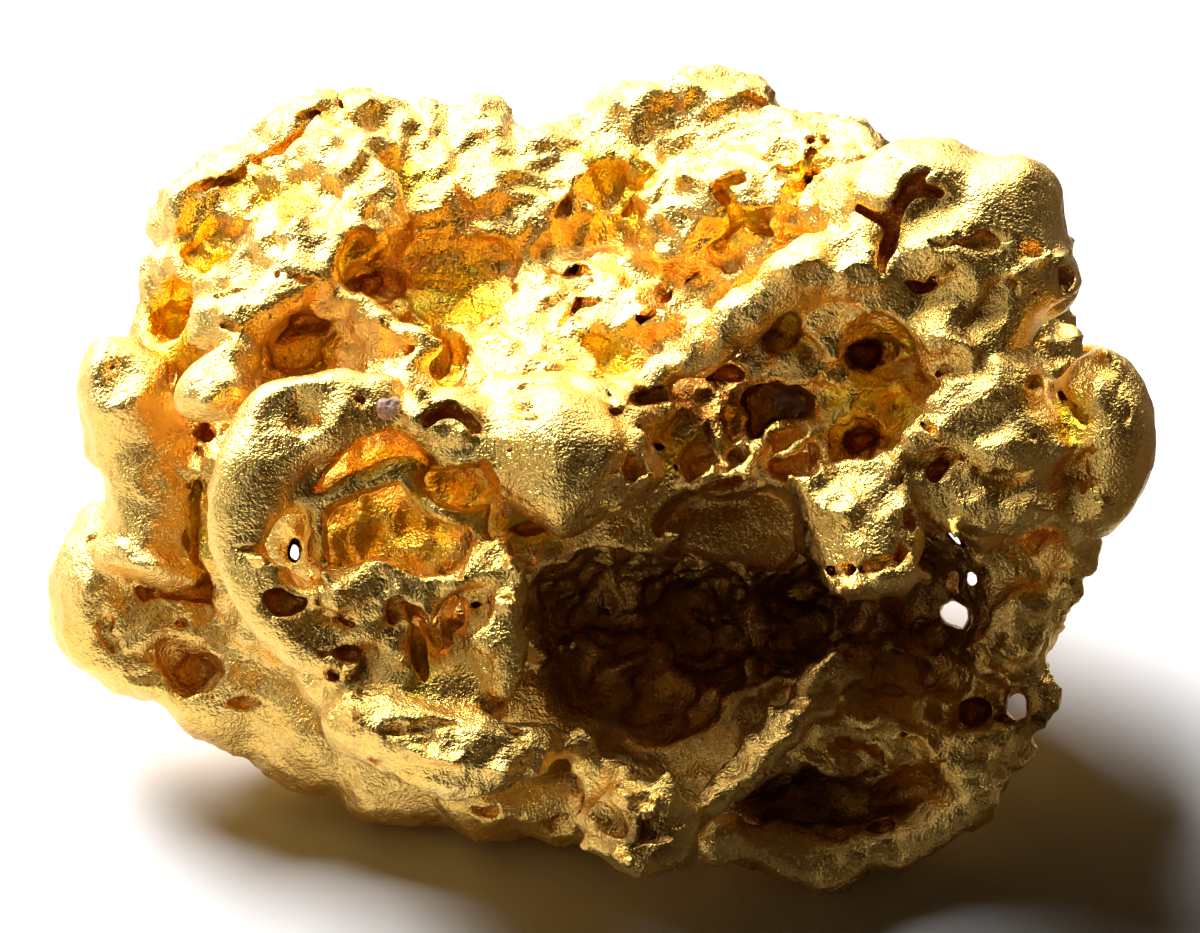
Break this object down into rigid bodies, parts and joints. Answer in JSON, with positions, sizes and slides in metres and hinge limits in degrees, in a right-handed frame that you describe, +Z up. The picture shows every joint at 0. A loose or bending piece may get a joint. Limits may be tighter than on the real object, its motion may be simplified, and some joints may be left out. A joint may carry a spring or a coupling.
{
  "type": "gold nugget",
  "caption": "Native gold nugget: a lumpy trunk with a thick ring, a basin on top and a pitted cavern in front, holding small grains of quartz.",
  "frame": {"origin": "on the surface it rests on, below the middle of its bounding box", "axes": "+Z up, +X along its longest extent, -Y the show face with the ring, nose and cavern"},
  "size_m": [0.0222, 0.0172, 0.013],
  "materials": {
    "gold": "native gold, satin and finely pitted, bright on worn high spots",
    "quartz": "cloudy, faintly pink quartz, wet gloss"
  },
  "bodies": {
    "root": {"gold_nugget": "gold", "quartz_grain_saddle": "quartz", "quartz_grain_pocket": "quartz"}
  },
  "joints": []
}
